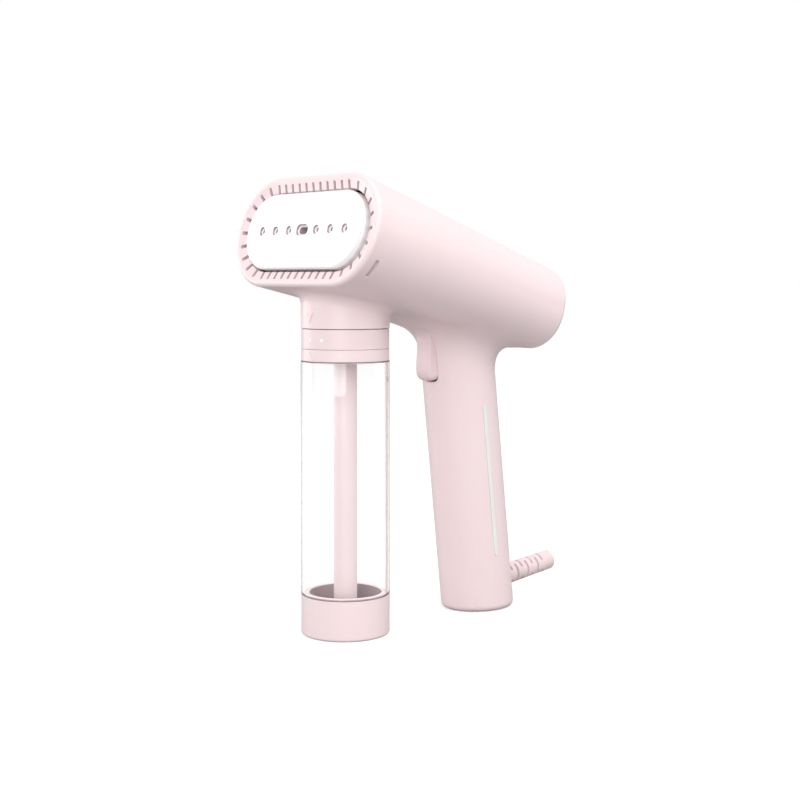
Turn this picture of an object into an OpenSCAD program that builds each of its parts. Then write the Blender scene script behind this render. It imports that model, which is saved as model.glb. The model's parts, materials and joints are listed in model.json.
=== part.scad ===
// Hand-held garment steamer with an upright clear water tank and a leaning grip.
// It stands on the tank's base and the foot of the grip. Millimetres, +Z up, -Y is the
// steaming face, and the origin is the middle of the footprint on the surface it stands on.

/* [Tank] */
// Outside diameter of the clear tube
tube_d = 47; // [46.5:0.1:47.5]
// Wall of the clear tube
tube_wall = 2; // [1.8:0.1:2.2]
// Height of the tank's base cap
base_h = 20.9; // [16:0.1:26]
// Height of the clear tube's top edge
tube_top = 143.4; // [140:0.1:144.5]
// Height of the seam between collar and locking ring
collar_top = 150.2; // [149:0.1:151]
// Height of the seam between locking ring and neck
ring_top = 161; // [160:0.1:162]
// Outside diameter of the suction pipe
pipe_d = 12.4; // [11:0.1:13]
// Angle between the two dots of the locking ring
lock_angle = 20; // [15:1:30]

/* [Head] */
// Width of the rim around the soleplate
face_w = 118.4; // [116:0.1:121]
// Height of the rim around the soleplate
face_h = 59.2; // [58.5:0.1:60]
// Height of the face's centre
face_z = 211.4; // [210.5:0.1:212]
// The face's centre is this far in front of the tank's axis
face_reach = 26.7; // [26:0.1:27.5]
// Nose-up tilt of the head's axis
head_tilt = 13.85; // [13:0.05:14.5]
// Length of the head along its axis
head_len = 157.1; // [154:0.1:160]
// Width of the head's rear end
rear_w = 86.7; // [82:0.1:90]
// Height of the head's rear end
rear_h = 47.4; // [46.5:0.1:49]
// Corner radius of the rear end
rear_r = 21.8; // [20:0.1:22.5]
// The rear end's centre is this far below the head's axis
rear_drop = 4.6; // [4:0.1:5]
// Radius of the neck above the locking ring
neck_r = 23.4; // [23:0.1:23.8]

/* [Soleplate] */
// Width of the soleplate
plate_w = 96.4; // [95:0.1:98]
// Height of the soleplate
plate_h = 40; // [39.5:0.1:40.5]
// The soleplate's face stands this far in front of the rim's plane
plate_proud = 1.4; // [1:0.1:2]
// Distance between steam vents
vent_pitch = 11.64; // [11:0.01:12]
// Steam vents on each side of the middle one
vent_side_count = 3; // [1:1:3]
// Slots along each straight side of the bezel
slot_straight_count = 11; // [5:2:13]
// Slots around each end of the bezel
slot_end_count = 9; // [5:1:11]
// Width of a bezel slot
slot_w = 1.3; // [1:0.1:1.6]

/* [Grip] */
// Width of the grip
grip_w = 38.4; // [37:0.1:40]
// Depth of the grip, front to back
grip_d = 43.4; // [42.5:0.1:44]
// The foot's centre is this far behind the tank's axis
grip_reach = 96.5; // [95:0.1:98]
// Forward lean of the grip
grip_lean = 6.4; // [6:0.1:7]
// Radius of the fillet between the grip's front and the head
front_fillet = 34; // [33:0.5:35]
// Radius of the fillet between the grip's back and the head
rear_fillet = 12.5; // [11:0.5:13]
// Length of the light strips
strip_len = 86.8; // [60:0.1:90]
// Width of the light strips
strip_w = 2.3; // [2:0.1:3]
// Length of the strain relief behind the grip
relief_len = 38.6; // [32:0.1:42]
// Radius of the strain relief at the grip
relief_r = 6; // [5.8:0.1:6.4]
// Diameter of the cord's bore
cord_bore = 6.6; // [6:0.1:7]

/* [Trigger] */
// Width of the trigger
trigger_w = 12.8; // [12:0.1:13.2]

/* [Shell] */
// Wall of the casing
wall = 2.4; // [2.2:0.1:2.6]
// Gap between neighbouring parts that move
gap = 0.3; // [0.25:0.05:0.35]

/* [Hidden] */
$fn = 96;
hull_fn = 40;
oval_step = 5;
eps = 0.01;
big = 400;

// Clear tube and its neighbours
tube_r = tube_d / 2;
tube_in = tube_r - tube_wall;
base_r = tube_r - 0.15;
collar_r = tube_r - 0.3;
base_round = 2.6;
base_floor = 5;
cup_r = 19;
lip_top = base_h + 1.1;
lip_r = tube_in - 0.1;
gasket_t = 0.5;
skirt_h = 1.6;
pipe_r = pipe_d / 2;
pipe_bore = 4.4;
pipe_top = ring_top - 2;
spigot_r = 17.2;
spigot_in = 14.8;
spigot_top = collar_top + 7.6;
socket_r = neck_r - wall - 0.1;
socket_low = collar_top + 2.8;
socket_stem = 19.5;
socket_in = 17.6;
socket_floor = ring_top + 3;
socket_top = socket_floor + 8;
hose_r = 3.2;
hose_bore = 1.9;
ring_step = collar_top + 5.2;
dot_r = 1.15;
dot_z = (collar_top + ring_top) / 2 - 0.6;
dot_depth = 0.8;
mark_w = 5;
mark_h = 5;
mark_proud = 0.4;
mark_gap = 3;

// Head, in the face's own frame: +Y up the face, +Z out of it
rim_proud = 1;
rim_round = 1;
taper_start = -1.5;
face_r = face_h / 2;
face_c = (face_w - face_h) / 2;
rear_edge = 4.2;
catch_depth = 7;
catch_w = 2.4;
catch_from = 30;
catch_to = 51;
bezel_r = face_r - wall - 0.1;
bezel_in = 21.2;
bezel_t = 1.6;
bezel_fall = 0.35;
bezel_back = -8;
bezel_draft = 0.8;
slot_in = 21.6;
slot_out = 25.6;
plate_c = (plate_w - plate_h) / 2;
plate_r = plate_h / 2;
plate_t = 2.8;
plate_back = -5;
plate_skirt = 2.5;
vent_r = 1.1;
vent_sink_r = 2.2;
vent_sink = 1;
oblong_half = 1.9;

// Steam chamber behind the soleplate
chamber_c = 28;
chamber_r = 18;
chamber_back = -25;
chamber_in_c = 26;
chamber_in_r = 12;
chamber_in_depth = 9;
gasket_w = 2;
cover_t = 2.5;
cover_r = 17.5;
element_r = 3.2;
element_y = 13.2;
element_z = -11;
element_x = 25;
screw_r = 1.5;
screw_ring = 14.9;
screw_head_r = 2.7;
screw_head_t = 2.2;
screw_len = 6;
shield_r = 22.5;
shield_c = 27.5;
shield_t = 1.5;
shield_front = -9;
shield_back = -37;
cover_back = chamber_back - gasket_t - cover_t;
thermostat_x = -14;
thermostat_r = 8;
thermostat_t = 5.2;
fuse_x = -31;
fuse_len = 11;
fuse_r = 2;

// Pump, board and hoses, in the face's frame
pump_y = -7;
pump_r = 13;
pump_front = -54;
pump_back = -106;
pump_nipple = 4;
turn_r = 11;
inlet_y = 11.3;
inlet_bend = 7;
board_y = 11;
board_t = 1.6;
board_w = 56;
board_front = -52;
board_back = -106;

// The inlet hose's bend ends on the pump's axis
inlet_end_y = inlet_y + inlet_bend * (1 + sin(head_tilt));
inlet_end_z = face_z + pump_y / cos(head_tilt) - (inlet_end_y + face_reach) * tan(head_tilt);
inlet_end_depth = -(inlet_end_y + face_reach - pump_y * sin(head_tilt)) / cos(head_tilt);
inlet_rise = inlet_end_z - inlet_bend * cos(head_tilt) - socket_top - 0.1;

// Grip, in its own frame: +Z up its axis, +Y to the back
grip_rx = grip_w / 2;
grip_ry = grip_d / 2;
under_rise = atan((face_h / 2 - rear_h / 2 - rear_drop) / head_len);
under_slope = head_tilt - under_rise + grip_lean;
web_half = 11;
strip_z = 31.5;
strip_y = 0.6;
relief_z = 12;
relief_end_r = 5.6;
relief_end = grip_ry + relief_len;
relief_pitch = 4.2;
relief_slots = 7;
relief_slot_w = 1.2;
relief_core = 4.3;
bridge_half = 2.1;
flange_r = 7.4;
flange_y = (grip_ry - wall) * sqrt(1 - pow(flange_r / (grip_rx - wall), 2)) - 0.05;
flange_t = 2.6;
foot_t = 3;

// Trigger, in the grip's frame
pivot_y = -19;
pivot_z = 160;
pin_r = 1.25;
pin_half = 10.4;
wire_r = 0.35;
coil_r = pin_r + 0.15 + wire_r;
spring_half = 3.2;
boss_r = 3.4;
boss_x = trigger_w / 2 + 0.7;
slot_half = trigger_w / 2 + gap;
opening_back = -16.5;
trigger_low = 134.8;
button_z = 141;
button_r = 1.2;
button_y = -9.6;
switch_y = -7.5;
switch_half = 3.2;

// Where the parts stand along Y, with the footprint centred on the origin
front_end = -face_reach - (face_r - rim_round) * sin(head_tilt) - rim_proud * cos(head_tilt);
rear_end = grip_reach + relief_end * cos(grip_lean)
    - (relief_z - relief_end_r + 0.6) * sin(grip_lean);
tank_y = -(front_end + rear_end) / 2;

// A point of the head's underside on the middle plane, carried into the grip's frame
under_dy = -face_reach - face_r * sin(head_tilt) - grip_reach;
under_h = face_z - face_r * cos(head_tilt);
under_y0 = under_dy * cos(grip_lean) + under_h * sin(grip_lean);
under_z0 = under_h * cos(grip_lean) - under_dy * sin(grip_lean);
function under_z(y) = under_z0 - (y - under_y0) * tan(under_slope);

// ---- Frames of reference ----

module on_tank() {
    translate([0, tank_y, 0]) children();
}

module on_face() {
    translate([0, tank_y - face_reach, face_z]) rotate([90 - head_tilt, 0, 0]) children();
}

module on_grip() {
    translate([0, tank_y + grip_reach, 0]) rotate([grip_lean, 0, 0]) children();
}

// ---- Shared shapes ----

// Round-ended slab between two heights, its end arcs' centres at +-c
module slab(c, r, low, high) {
    translate([0, 0, low]) linear_extrude(high - low) {
        for (side = [-1, 1]) translate([side * c, 0]) circle(r);
        if (c > 0) translate([-c, -r]) square([2 * c, 2 * r]);
    }
}

// A profile, drawn as (distance from the arc's centre, height), swept round a stadium
module stadium_sweep(c) {
    for (side = [0, 180]) rotate(side) {
        translate([c, 0, 0]) rotate(-90) rotate_extrude(angle = 180) children();
        rotate([90, 0, 90]) translate([0, 0, -c]) linear_extrude(2 * c) children();
    }
}

module ring(outer, inner, low, high) {
    translate([0, 0, low]) difference() {
        cylinder(r = outer, h = high - low);
        translate([0, 0, -1]) cylinder(r = inner, h = high - low + 2);
    }
}

// Round bar bent in the X-Z plane, from heading +Z at the origin towards +X
module elbow(bend, r, angle) {
    translate([bend, 0, 0]) rotate([90, 0, 0]) rotate([0, 0, 180 - angle])
        rotate_extrude(angle = angle) translate([bend, 0]) circle(r);
}

module screw(len) {
    cylinder(r = screw_r, h = len);
    translate([0, 0, len]) difference() {
        cylinder(r = screw_head_r, h = screw_head_t);
        translate([0, 0, screw_head_t - 1]) {
            translate([-0.35, -1.8, 0]) cube([0.7, 3.6, 2]);
            translate([-1.8, -0.35, 0]) cube([3.6, 0.7, 2]);
        }
    }
}

// ---- Casing ----

// Round-cornered plate of the head; half = true keeps only its +X side
module head_plate(half, cx, cy, r, z, t, fn) {
    translate([0, 0, z]) linear_extrude(t) intersection() {
        union() {
            for (x = [-cx, cx], y = [-cy, cy]) translate([x, y]) circle(r, $fn = fn);
            translate([-cx, -cy - r]) square([2 * cx, 2 * (cy + r)]);
        }
        translate([half ? 0 : -big, -big / 2]) square([2 * big, big]);
    }
}

// The head's body, shrunk by inset; it tapers behind z = taper_start and ends at z = front
module head_body(half, inset, front, rounding) {
    cx = rear_w / 2 - rear_r;
    cy = rear_h / 2 - rear_r;
    r = rear_r - inset;
    hull() {
        head_plate(half, face_c, 0, face_r - inset, taper_start, 0.5, 2 * hull_fn);
        head_plate(half, face_c, 0, face_r - inset - rounding, front - 0.1, 0.1, 2 * hull_fn);
        translate([0, -rear_drop, inset - head_len]) {
            head_plate(half, cx, cy, r, rear_edge, 0.5, hull_fn);
            head_plate(half, cx, cy, r - rear_edge * 0.3, rear_edge * 0.3, 0.1, hull_fn);
            head_plate(half, cx, cy, r - rear_edge, 0, 0.1, hull_fn);
        }
    }
}

// The grip's oval column, in the grip's frame
module grip_body(half, inset, top) {
    last = half ? 90 : 270 - oval_step;
    translate([0, 0, -20]) linear_extrude(top + 20) polygon([
        for (a = [-90 : oval_step : last]) [(grip_rx - inset) * cos(a), (grip_ry - inset) * sin(a)]
    ]);
}

// Filleted web under the head; end = -1 is in front of the grip, 1 behind it
module web(half, end, fillet, inset) {
    cy = end * (grip_ry + fillet);
    cz = under_z(cy) - fillet / cos(under_slope);
    touch_y = cy + fillet * sin(under_slope);
    inner_y = end * (grip_ry - 8);
    top = under_z(touch_y) + 4;
    start = half ? 0 : inset - web_half;
    translate([start, 0, 0]) rotate([90, 0, 90]) linear_extrude(web_half - inset - start) difference() {
        polygon([
            [inner_y, cz], [end * grip_ry, cz],
            [touch_y, under_z(touch_y)], [touch_y, top], [inner_y, top + 8]
        ]);
        translate([cy, cz]) circle(fillet + inset, $fn = 2 * $fn);
    }
}

module casing_body(half, inset, front, rounding) {
    on_face() head_body(half, inset, front, rounding);
    on_tank() translate([0, 0, ring_top - inset]) rotate(-90)
        rotate_extrude(angle = half ? 180 : 360) square([neck_r - inset, 26 + inset]);
    on_grip() {
        grip_body(half, inset, under_z(0) + 6);
        web(half, -1, front_fillet, inset);
        web(half, 1, rear_fillet, inset);
    }
}

// Right half of a triangle raised on the front of a round wall; point = 1 aims up, -1 aims down
module mark(z, point, r) {
    intersection() {
        translate([0, 1 - r, z]) rotate([90, 0, 0]) linear_extrude(3)
            polygon([[0, point * mark_h], [0, 0], [mark_w / 2, 0]]);
        cylinder(r = r + mark_proud, h = 200);
    }
}

// Slot for an accessory's catch, low on the head's end
module catch_cut() {
    on_face() translate([face_c, 0, -catch_depth - catch_w / 2]) rotate(-catch_to)
        rotate_extrude(angle = catch_to - catch_from)
            translate([face_r - 2.6, 0]) square([4, catch_w]);
}

module strip_cut(grow) {
    on_grip() for (side = [-1, 1]) translate([side * grip_rx, strip_y, strip_z])
        rotate([0, 90, 0]) translate([-strip_len / 2, 0, -4]) {
            half = strip_len / 2 - strip_w / 2;
            linear_extrude(8) {
                for (end = [-half, half]) translate([end, 0]) circle(strip_w / 2 + grow);
                translate([-half, -strip_w / 2 - grow]) square([2 * half, strip_w + 2 * grow]);
            }
        }
}

module trigger_opening() {
    on_grip() translate([-slot_half, opening_back - 30, trigger_low - 1.2])
        cube([2 * slot_half, 30, pivot_z - trigger_low + 4.4]);
}

module pin_boss() {
    on_grip() translate([boss_x, pivot_y, pivot_z]) rotate([0, 90, 0])
        cylinder(r = boss_r, h = pin_half - boss_x + 0.6);
}

// The half of the casing on the +X side of the middle plane
module casing_half() {
    difference() {
        union() {
            difference() {
                casing_body(true, 0, rim_proud, rim_round);
                casing_body(false, wall, 8, 0);
            }
            pin_boss();
            on_tank() mark(ring_top + mark_gap + mark_h, -1, neck_r);
        }
        translate([-big / 2, -big / 2, -big]) cube(big);
        trigger_opening();
        strip_cut(0);
        catch_cut();
        on_grip() {
            translate([0, 0, relief_z]) rotate([-90, 0, 0]) cylinder(r = relief_r + 0.1, h = 60);
            translate([-pin_half, pivot_y, pivot_z]) rotate([0, 90, 0])
                cylinder(r = pin_r + 0.02, h = 2 * pin_half);
        }
    }
}

module casing_left() {
    color([0.98, 0.89, 0.9]) mirror([1, 0, 0]) casing_half();
}

module casing_right() {
    color([0.98, 0.89, 0.9]) casing_half();
}

// ---- Face ----

// Height of the bezel's sloping front at radius r
function bezel_z(r) = rim_proud - bezel_fall * (bezel_r - r);

module bezel_slot() {
    translate([slot_in, -slot_w / 2, bezel_z(slot_in) - 3]) cube([slot_out - slot_in, slot_w, 6]);
}

module bezel_ring() {
    color([0.97, 0.87, 0.88]) on_face() difference() {
        stadium_sweep(face_c) polygon([
            [bezel_r - bezel_draft, bezel_back], [bezel_r, taper_start],
            [bezel_r, bezel_z(bezel_r)], [bezel_in, bezel_z(bezel_in)],
            [bezel_in, bezel_back + 2], [bezel_in + 1.2, bezel_back + 2],
            [bezel_in + 1.2, bezel_z(bezel_in) - bezel_t],
            [bezel_r - 1.4, bezel_z(bezel_r) - bezel_t - 0.5], [bezel_r - bezel_draft - 1.4, bezel_back]
        ]);
        for (side = [-1, 1]) {
            for (i = [0 : slot_straight_count - 1])
                translate([(i / (slot_straight_count - 1) - 0.5) * 2 * face_c, 0, 0])
                    rotate(side * 90) bezel_slot();
            for (i = [1 : slot_end_count]) translate([side * face_c, 0, 0])
                rotate(-side * 90 + 180 * i / (slot_end_count + 1)) bezel_slot();
        }
    }
}

module soleplate() {
    color([0.97, 0.97, 0.97]) on_face() difference() {
        slab(plate_c, plate_r, plate_back, plate_proud);
        slab(plate_c, plate_r - plate_skirt, plate_back - 1, plate_proud - plate_t);
        for (i = [-vent_side_count : vent_side_count]) translate([i * vent_pitch, 0, plate_proud]) {
            half = i == 0 ? oblong_half : 0;
            slab(half, vent_r, -plate_t - 1, 1);
            slab(half, vent_sink_r, -vent_sink, 1);
        }
    }
}

// ---- Steam chamber ----

module screw_places() {
    for (side = [-1, 1]) {
        translate([0, side * screw_ring, 0]) children();
        for (up = [-1, 1]) translate([side * (chamber_c + screw_ring * cos(45)),
            up * screw_ring * sin(45), 0]) children();
    }
}

// U-shaped element, cast into the chamber: two straights joined by a half ring
module element_shape(grow) {
    translate([0, 0, element_z]) {
        for (up = [-1, 1]) translate([element_x, up * element_y, 0]) rotate([0, -90, 0])
            cylinder(r = element_r + grow, h = element_x + 47);
        translate([element_x, 0, 0]) rotate(-90) rotate_extrude(angle = 180)
            translate([element_y, 0]) circle(element_r + grow);
    }
}

module steam_chamber() {
    color([0.72, 0.73, 0.75]) on_face() difference() {
        slab(chamber_c, chamber_r, chamber_back, plate_back);
        slab(chamber_in_c, chamber_in_r, chamber_back - 1, chamber_back + chamber_in_depth);
        element_shape(0.05);
        for (i = [-vent_side_count : vent_side_count]) translate([i * vent_pitch, 0, chamber_back])
            cylinder(r = vent_r, h = 30);
        screw_places() translate([0, 0, chamber_back - 1]) cylinder(r = screw_r + 0.05, h = 8);
    }
}

module heating_element() {
    color([0.6, 0.58, 0.56]) on_face() {
        element_shape(0);
        for (up = [-1, 1]) translate([-47, up * element_y, element_z]) rotate([0, -90, 0])
            cylinder(r = 1.1, h = 2.6);
    }
}

module chamber_gasket() {
    color([0.75, 0.3, 0.25]) on_face() difference() {
        slab(chamber_in_c, chamber_in_r + gasket_w, chamber_back - gasket_t, chamber_back);
        slab(chamber_in_c, chamber_in_r, chamber_back - gasket_t - 1, chamber_back + 1);
        screw_places() translate([0, 0, chamber_back - 2]) cylinder(r = screw_r + 0.2, h = 4);
    }
}

module chamber_cover() {
    color([0.7, 0.71, 0.73]) on_face() difference() {
        union() {
            slab(chamber_c, cover_r, cover_back, chamber_back - gasket_t);
            translate([turn_r * 2, pump_y, cover_back - 6]) cylinder(r = hose_bore, h = 7);
        }
        translate([turn_r * 2, pump_y, cover_back - 7]) cylinder(r = 1, h = 12);
        screw_places() translate([0, 0, cover_back - 1]) cylinder(r = screw_r + 0.2, h = 5);
    }
}

module chamber_screws() {
    color([0.8, 0.8, 0.8]) on_face() screw_places()
        translate([0, 0, chamber_back + screw_len]) rotate([180, 0, 0])
            screw(screw_len + gasket_t + cover_t);
}

module thermostat() {
    color([0.85, 0.8, 0.7]) on_face() translate([thermostat_x, 0, cover_back - thermostat_t]) {
        cylinder(r = thermostat_r, h = thermostat_t);
        for (up = [-1, 1]) translate([-0.4, up * 4 - 1.5, -2]) cube([0.8, 3, 2.5]);
    }
}

module thermal_fuse() {
    color([0.9, 0.9, 0.86]) on_face() translate([fuse_x, -fuse_len / 2, cover_back - fuse_r - 0.1]) {
        rotate([-90, 0, 0]) cylinder(r = fuse_r, h = fuse_len);
        translate([0, -1.5, 0]) rotate([-90, 0, 0]) cylinder(r = 0.5, h = fuse_len + 3);
    }
}

module heat_shield() {
    color([0.32, 0.33, 0.35]) on_face() difference() {
        slab(shield_c, shield_r, shield_back, shield_front);
        slab(shield_c, shield_r - shield_t, shield_back + shield_t, shield_front + 1);
        for (up = [-1, 1]) translate([-60, up * element_y - 4, -20]) cube([30, 8, 20]);
        translate([turn_r * 2, pump_y, shield_back - 1]) cylinder(r = hose_r + 0.8, h = 4);
        translate([thermostat_x - 6, 8, shield_back - 1]) cube([12, 6, 4]);
    }
}

// ---- Water path ----

module water_pump() {
    color([0.25, 0.26, 0.28]) on_face() translate([0, pump_y, 0]) difference() {
        union() {
            translate([0, 0, pump_back]) cylinder(r = pump_r - 3, h = pump_front - pump_back);
            translate([-pump_r + 1, -pump_r + 1, pump_back + 8])
                cube([2 * pump_r - 2, 2 * pump_r - 2, 26]);
            translate([0, 0, pump_front]) cylinder(r = hose_bore - 0.1, h = pump_nipple);
            translate([0, 0, pump_back - pump_nipple]) cylinder(r = hose_bore - 0.1, h = pump_nipple);
        }
        translate([0, 0, pump_front - 4]) cylinder(r = 1, h = pump_nipple + 5);
        translate([0, 0, pump_back - pump_nipple - 1]) cylinder(r = 1, h = pump_nipple + 5);
    }
}

module pump_cradle() {
    color([0.2, 0.2, 0.2]) on_face() translate([0, pump_y, 0]) difference() {
        translate([-15, -pump_r - 2, pump_front - 12]) cube([30, pump_r + 10, 8]);
        translate([0, 0, pump_front - 13]) cylinder(r = pump_r - 2.95, h = 10);
        translate([-pump_r + 2.95, 0, pump_front - 13]) cube([2 * pump_r - 5.9, 20, 10]);
    }
}

// Path of the inlet hose, filled to radius r: up from the socket, round, and back to the pump
module inlet_path(r) {
    on_tank() translate([0, inlet_y, socket_top + 0.1]) {
        cylinder(r = r, h = inlet_rise);
        translate([0, 0, inlet_rise]) rotate(90) elbow(inlet_bend, r, 90 + head_tilt);
    }
    on_face() translate([0, pump_y, pump_front + 0.05])
        cylinder(r = r, h = inlet_end_depth - pump_front - 0.05);
}

module inlet_hose() {
    color([0.93, 0.93, 0.9]) difference() {
        inlet_path(hose_r);
        inlet_path(hose_bore);
    }
}

// Path of the hose from the pump's back, round in a U, and forward to the chamber's cover
module feed_path(r, grow) {
    start = pump_back - pump_nipple - 1;
    on_face() translate([0, pump_y, start]) {
        cylinder(r = r, h = pump_nipple + 0.95);
        rotate([180, 0, 0]) elbow(turn_r, r, 180);
        translate([2 * turn_r, 0, 0]) cylinder(r = r + grow, h = cover_back - 0.3 - start);
    }
}

module steam_feed_hose() {
    color([0.93, 0.93, 0.9]) difference() {
        feed_path(hose_r, 0);
        feed_path(hose_bore, 0.05);
    }
}

module tank_socket() {
    color([0.9, 0.88, 0.86]) on_tank() difference() {
        union() {
            translate([0, 0, socket_floor]) cylinder(r = socket_r, h = socket_top - socket_floor);
            translate([0, 0, socket_low]) cylinder(r = socket_stem, h = socket_floor - socket_low + 1);
            translate([0, inlet_y, socket_top]) cylinder(r = hose_bore - 0.1, h = 5);
        }
        translate([0, 0, socket_low - 1]) cylinder(r = socket_in, h = socket_top - socket_low - 4);
        translate([0, inlet_y, socket_top - 8]) cylinder(r = 1, h = 14);
        ring(socket_stem + 1, socket_stem - 0.7, socket_low + 0.6, socket_low + 1.8);
    }
}

module socket_clip() {
    color([0.75, 0.76, 0.78]) on_tank() difference() {
        ring(socket_stem + 1.1, socket_stem - 0.65, socket_low + 0.65, socket_low + 1.75);
        translate([-3, 0, socket_low]) cube([6, 30, 4]);
    }
}

// ---- Locking ring and tank ----

module lock_ring() {
    color([0.96, 0.86, 0.88]) on_tank() difference() {
        translate([0, 0, collar_top + gap / 2])
            cylinder(r = collar_r, h = ring_top - collar_top - gap / 2 - gap);
        translate([0, 0, collar_top - 1]) cylinder(r = collar_r - 1.9, h = ring_step - collar_top + 1);
        translate([0, 0, collar_top]) cylinder(r = socket_stem + 0.4, h = 20);
        lock_dot_places() cylinder(r = dot_r + 0.02, h = 4);
    }
}

module lock_dot_places() {
    for (turn = [0, lock_angle]) rotate(turn) translate([0, -collar_r + dot_depth, dot_z])
        rotate([90, 0, 0]) children();
}

module lock_dots() {
    color([1, 1, 1]) on_tank() lock_dot_places() cylinder(r = dot_r, h = dot_depth + 0.05);
}

module tank_collar() {
    color([0.97, 0.88, 0.89]) on_tank() difference() {
        union() {
            translate([0, 0, tube_top + gasket_t])
                cylinder(r = collar_r, h = collar_top - tube_top - gasket_t - gap / 2);
            translate([0, 0, tube_top - skirt_h]) cylinder(r = lip_r, h = skirt_h + 1);
            translate([0, 0, collar_top - 1]) cylinder(r = spigot_r, h = spigot_top - collar_top + 1);
            for (side = [0, 1]) mirror([side, 0, 0]) mark(collar_top - 1.2 - mark_h, 1, collar_r);
        }
        translate([0, 0, tube_top - skirt_h - 1]) cylinder(r = spigot_in, h = 30);
        ring(spigot_r + 1, spigot_r - 1.1, spigot_top - 3.4, spigot_top - 1.6);
    }
}

module tank_seal() {
    color([0.85, 0.45, 0.4]) on_tank() translate([0, 0, spigot_top - 2.5])
        rotate_extrude() translate([spigot_r - 0.45, 0]) circle(0.64);
}

module tank_tube() {
    color([0.85, 0.92, 0.95, 0.35]) on_tank()
        ring(tube_r, tube_in, base_h + gasket_t, tube_top);
}

module tube_gaskets() {
    color([0.5, 0.48, 0.48]) on_tank() {
        ring(tube_r - 0.2, tube_in, base_h, base_h + gasket_t);
        ring(tube_r - 0.2, tube_in, tube_top, tube_top + gasket_t);
    }
}

module tank_base() {
    color([0.98, 0.89, 0.9]) on_tank() difference() {
        union() {
            rotate_extrude() difference() {
                square([base_r, base_h]);
                translate([base_r - base_round, 0]) difference() {
                    square(base_round);
                    translate([0, base_round]) circle(base_round);
                }
            }
            translate([0, 0, base_h - 1]) cylinder(r = lip_r, h = lip_top - base_h + 1);
        }
        translate([0, 0, base_floor]) cylinder(r = cup_r, h = 40);
    }
}

module suction_pipe() {
    color([0.98, 0.89, 0.9]) on_tank() difference() {
        translate([0, 0, base_floor]) cylinder(r = pipe_r, h = pipe_top - base_floor);
        translate([0, 0, base_floor - 1]) cylinder(r = pipe_bore, h = pipe_top);
        for (turn = [45, 135]) rotate(turn) translate([-20, -1.5, base_floor - 1]) cube([40, 3, 5]);
    }
}

module pipe_filter() {
    color([0.8, 0.8, 0.8]) on_tank() ring(pipe_bore - 0.05, pipe_bore - 1.4, base_floor + 5, base_floor + 11);
}

// ---- Trigger ----

module trigger() {
    bulge = -grip_ry - 4.9;
    color([0.95, 0.85, 0.87]) on_grip() difference() {
        union() {
            translate([-trigger_w / 2, 0, 0]) rotate([90, 0, 90]) linear_extrude(trigger_w)
                polygon([
                    [bulge + 2.6, trigger_low], [bulge + 0.8, trigger_low + 1], [bulge, trigger_low + 3.4],
                    [bulge + 0.5, trigger_low + 10], [bulge + 0.9, trigger_low + 15.5],
                    [bulge - 0.4, trigger_low + 19.5], [bulge - 2, trigger_low + 23],
                    [bulge - 3.6, trigger_low + 26.2], [pivot_y - 4, pivot_z + 2.6],
                    [pivot_y + 3, pivot_z + 2], [pivot_y + 3.4, pivot_z - 6],
                    [-grip_ry + 10, trigger_low + 12], [-grip_ry + 11.4, trigger_low + 4],
                    [-grip_ry + 6, trigger_low]
                ]);
            translate([-trigger_w / 2, pivot_y, pivot_z]) rotate([0, 90, 0])
                cylinder(r = boss_r, h = trigger_w);
        }
        translate([-20, pivot_y, pivot_z]) rotate([0, 90, 0]) cylinder(r = pin_r + 0.05, h = 40);
        translate([-spring_half, pivot_y + 0.2, pivot_z - 4.5]) cube([2 * spring_half, 10, 10]);
        translate([-spring_half, pivot_y, pivot_z]) rotate([0, 90, 0])
            cylinder(r = coil_r + wire_r + 0.4, h = 2 * spring_half);
    }
}

module trigger_pin() {
    color([0.8, 0.8, 0.82]) on_grip() translate([-pin_half + 0.2, pivot_y, pivot_z]) rotate([0, 90, 0])
        cylinder(r = pin_r, h = 2 * pin_half - 0.4);
}

// Torsion spring: close coils round the pin with one leg down behind the trigger
module trigger_spring() {
    leg_x = 5.7 * wire_r;
    leg_y = coil_r + 1.2;
    color([0.7, 0.72, 0.75]) on_grip() translate([0, pivot_y, pivot_z]) {
        rotate([0, 90, 0]) for (i = [-3 : 3]) translate([0, 0, i * 1.9 * wire_r])
            rotate_extrude() translate([coil_r, 0]) circle(wire_r, $fn = 16);
        translate([leg_x, leg_y, 0.6]) cylinder(r = wire_r, h = 9, $fn = 16);
        translate([leg_x, 1.4, 0.9]) rotate([-90, 0, 0])
            cylinder(r = wire_r, h = leg_y - 1.4, $fn = 16);
    }
}

module microswitch() {
    color([0.15, 0.15, 0.16]) on_grip() difference() {
        translate([-switch_half, switch_y, button_z - 6]) cube([2 * switch_half, 11, 18]);
        translate([0, switch_y - 1, button_z]) rotate([-90, 0, 0]) cylinder(r = button_r + 0.05, h = 6.4);
        for (end = [-3.5, 9.5]) translate([-10, switch_y + 7.5, button_z + end]) rotate([0, 90, 0])
            cylinder(r = 1.2, h = 20);
    }
}

module switch_button() {
    color([0.85, 0.2, 0.2]) on_grip() translate([0, button_y, button_z]) rotate([-90, 0, 0])
        cylinder(r = button_r, h = 4.6);
}

// ---- Grip ----

module light_strips() {
    color([0.93, 0.92, 0.9]) intersection() {
        strip_cut(-0.04);
        on_grip() difference() {
            grip_body(false, -0.05, 140);
            grip_body(false, wall + 0.4, 150);
        }
    }
}

module strip_board() {
    color([0.3, 0.5, 0.35]) on_grip() for (side = [-1, 1])
        translate([side * (grip_rx - wall - 1.9) - 0.5, strip_y - 3, strip_z + 4]) cube([1, 6, strip_len - 8]);
}

module grip_foot() {
    color([0.97, 0.88, 0.89]) intersection() {
        on_grip() grip_body(false, wall + 0.1, 30);
        translate([-big / 2, -big / 2, 0]) cube([big, big, foot_t]);
    }
}

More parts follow.
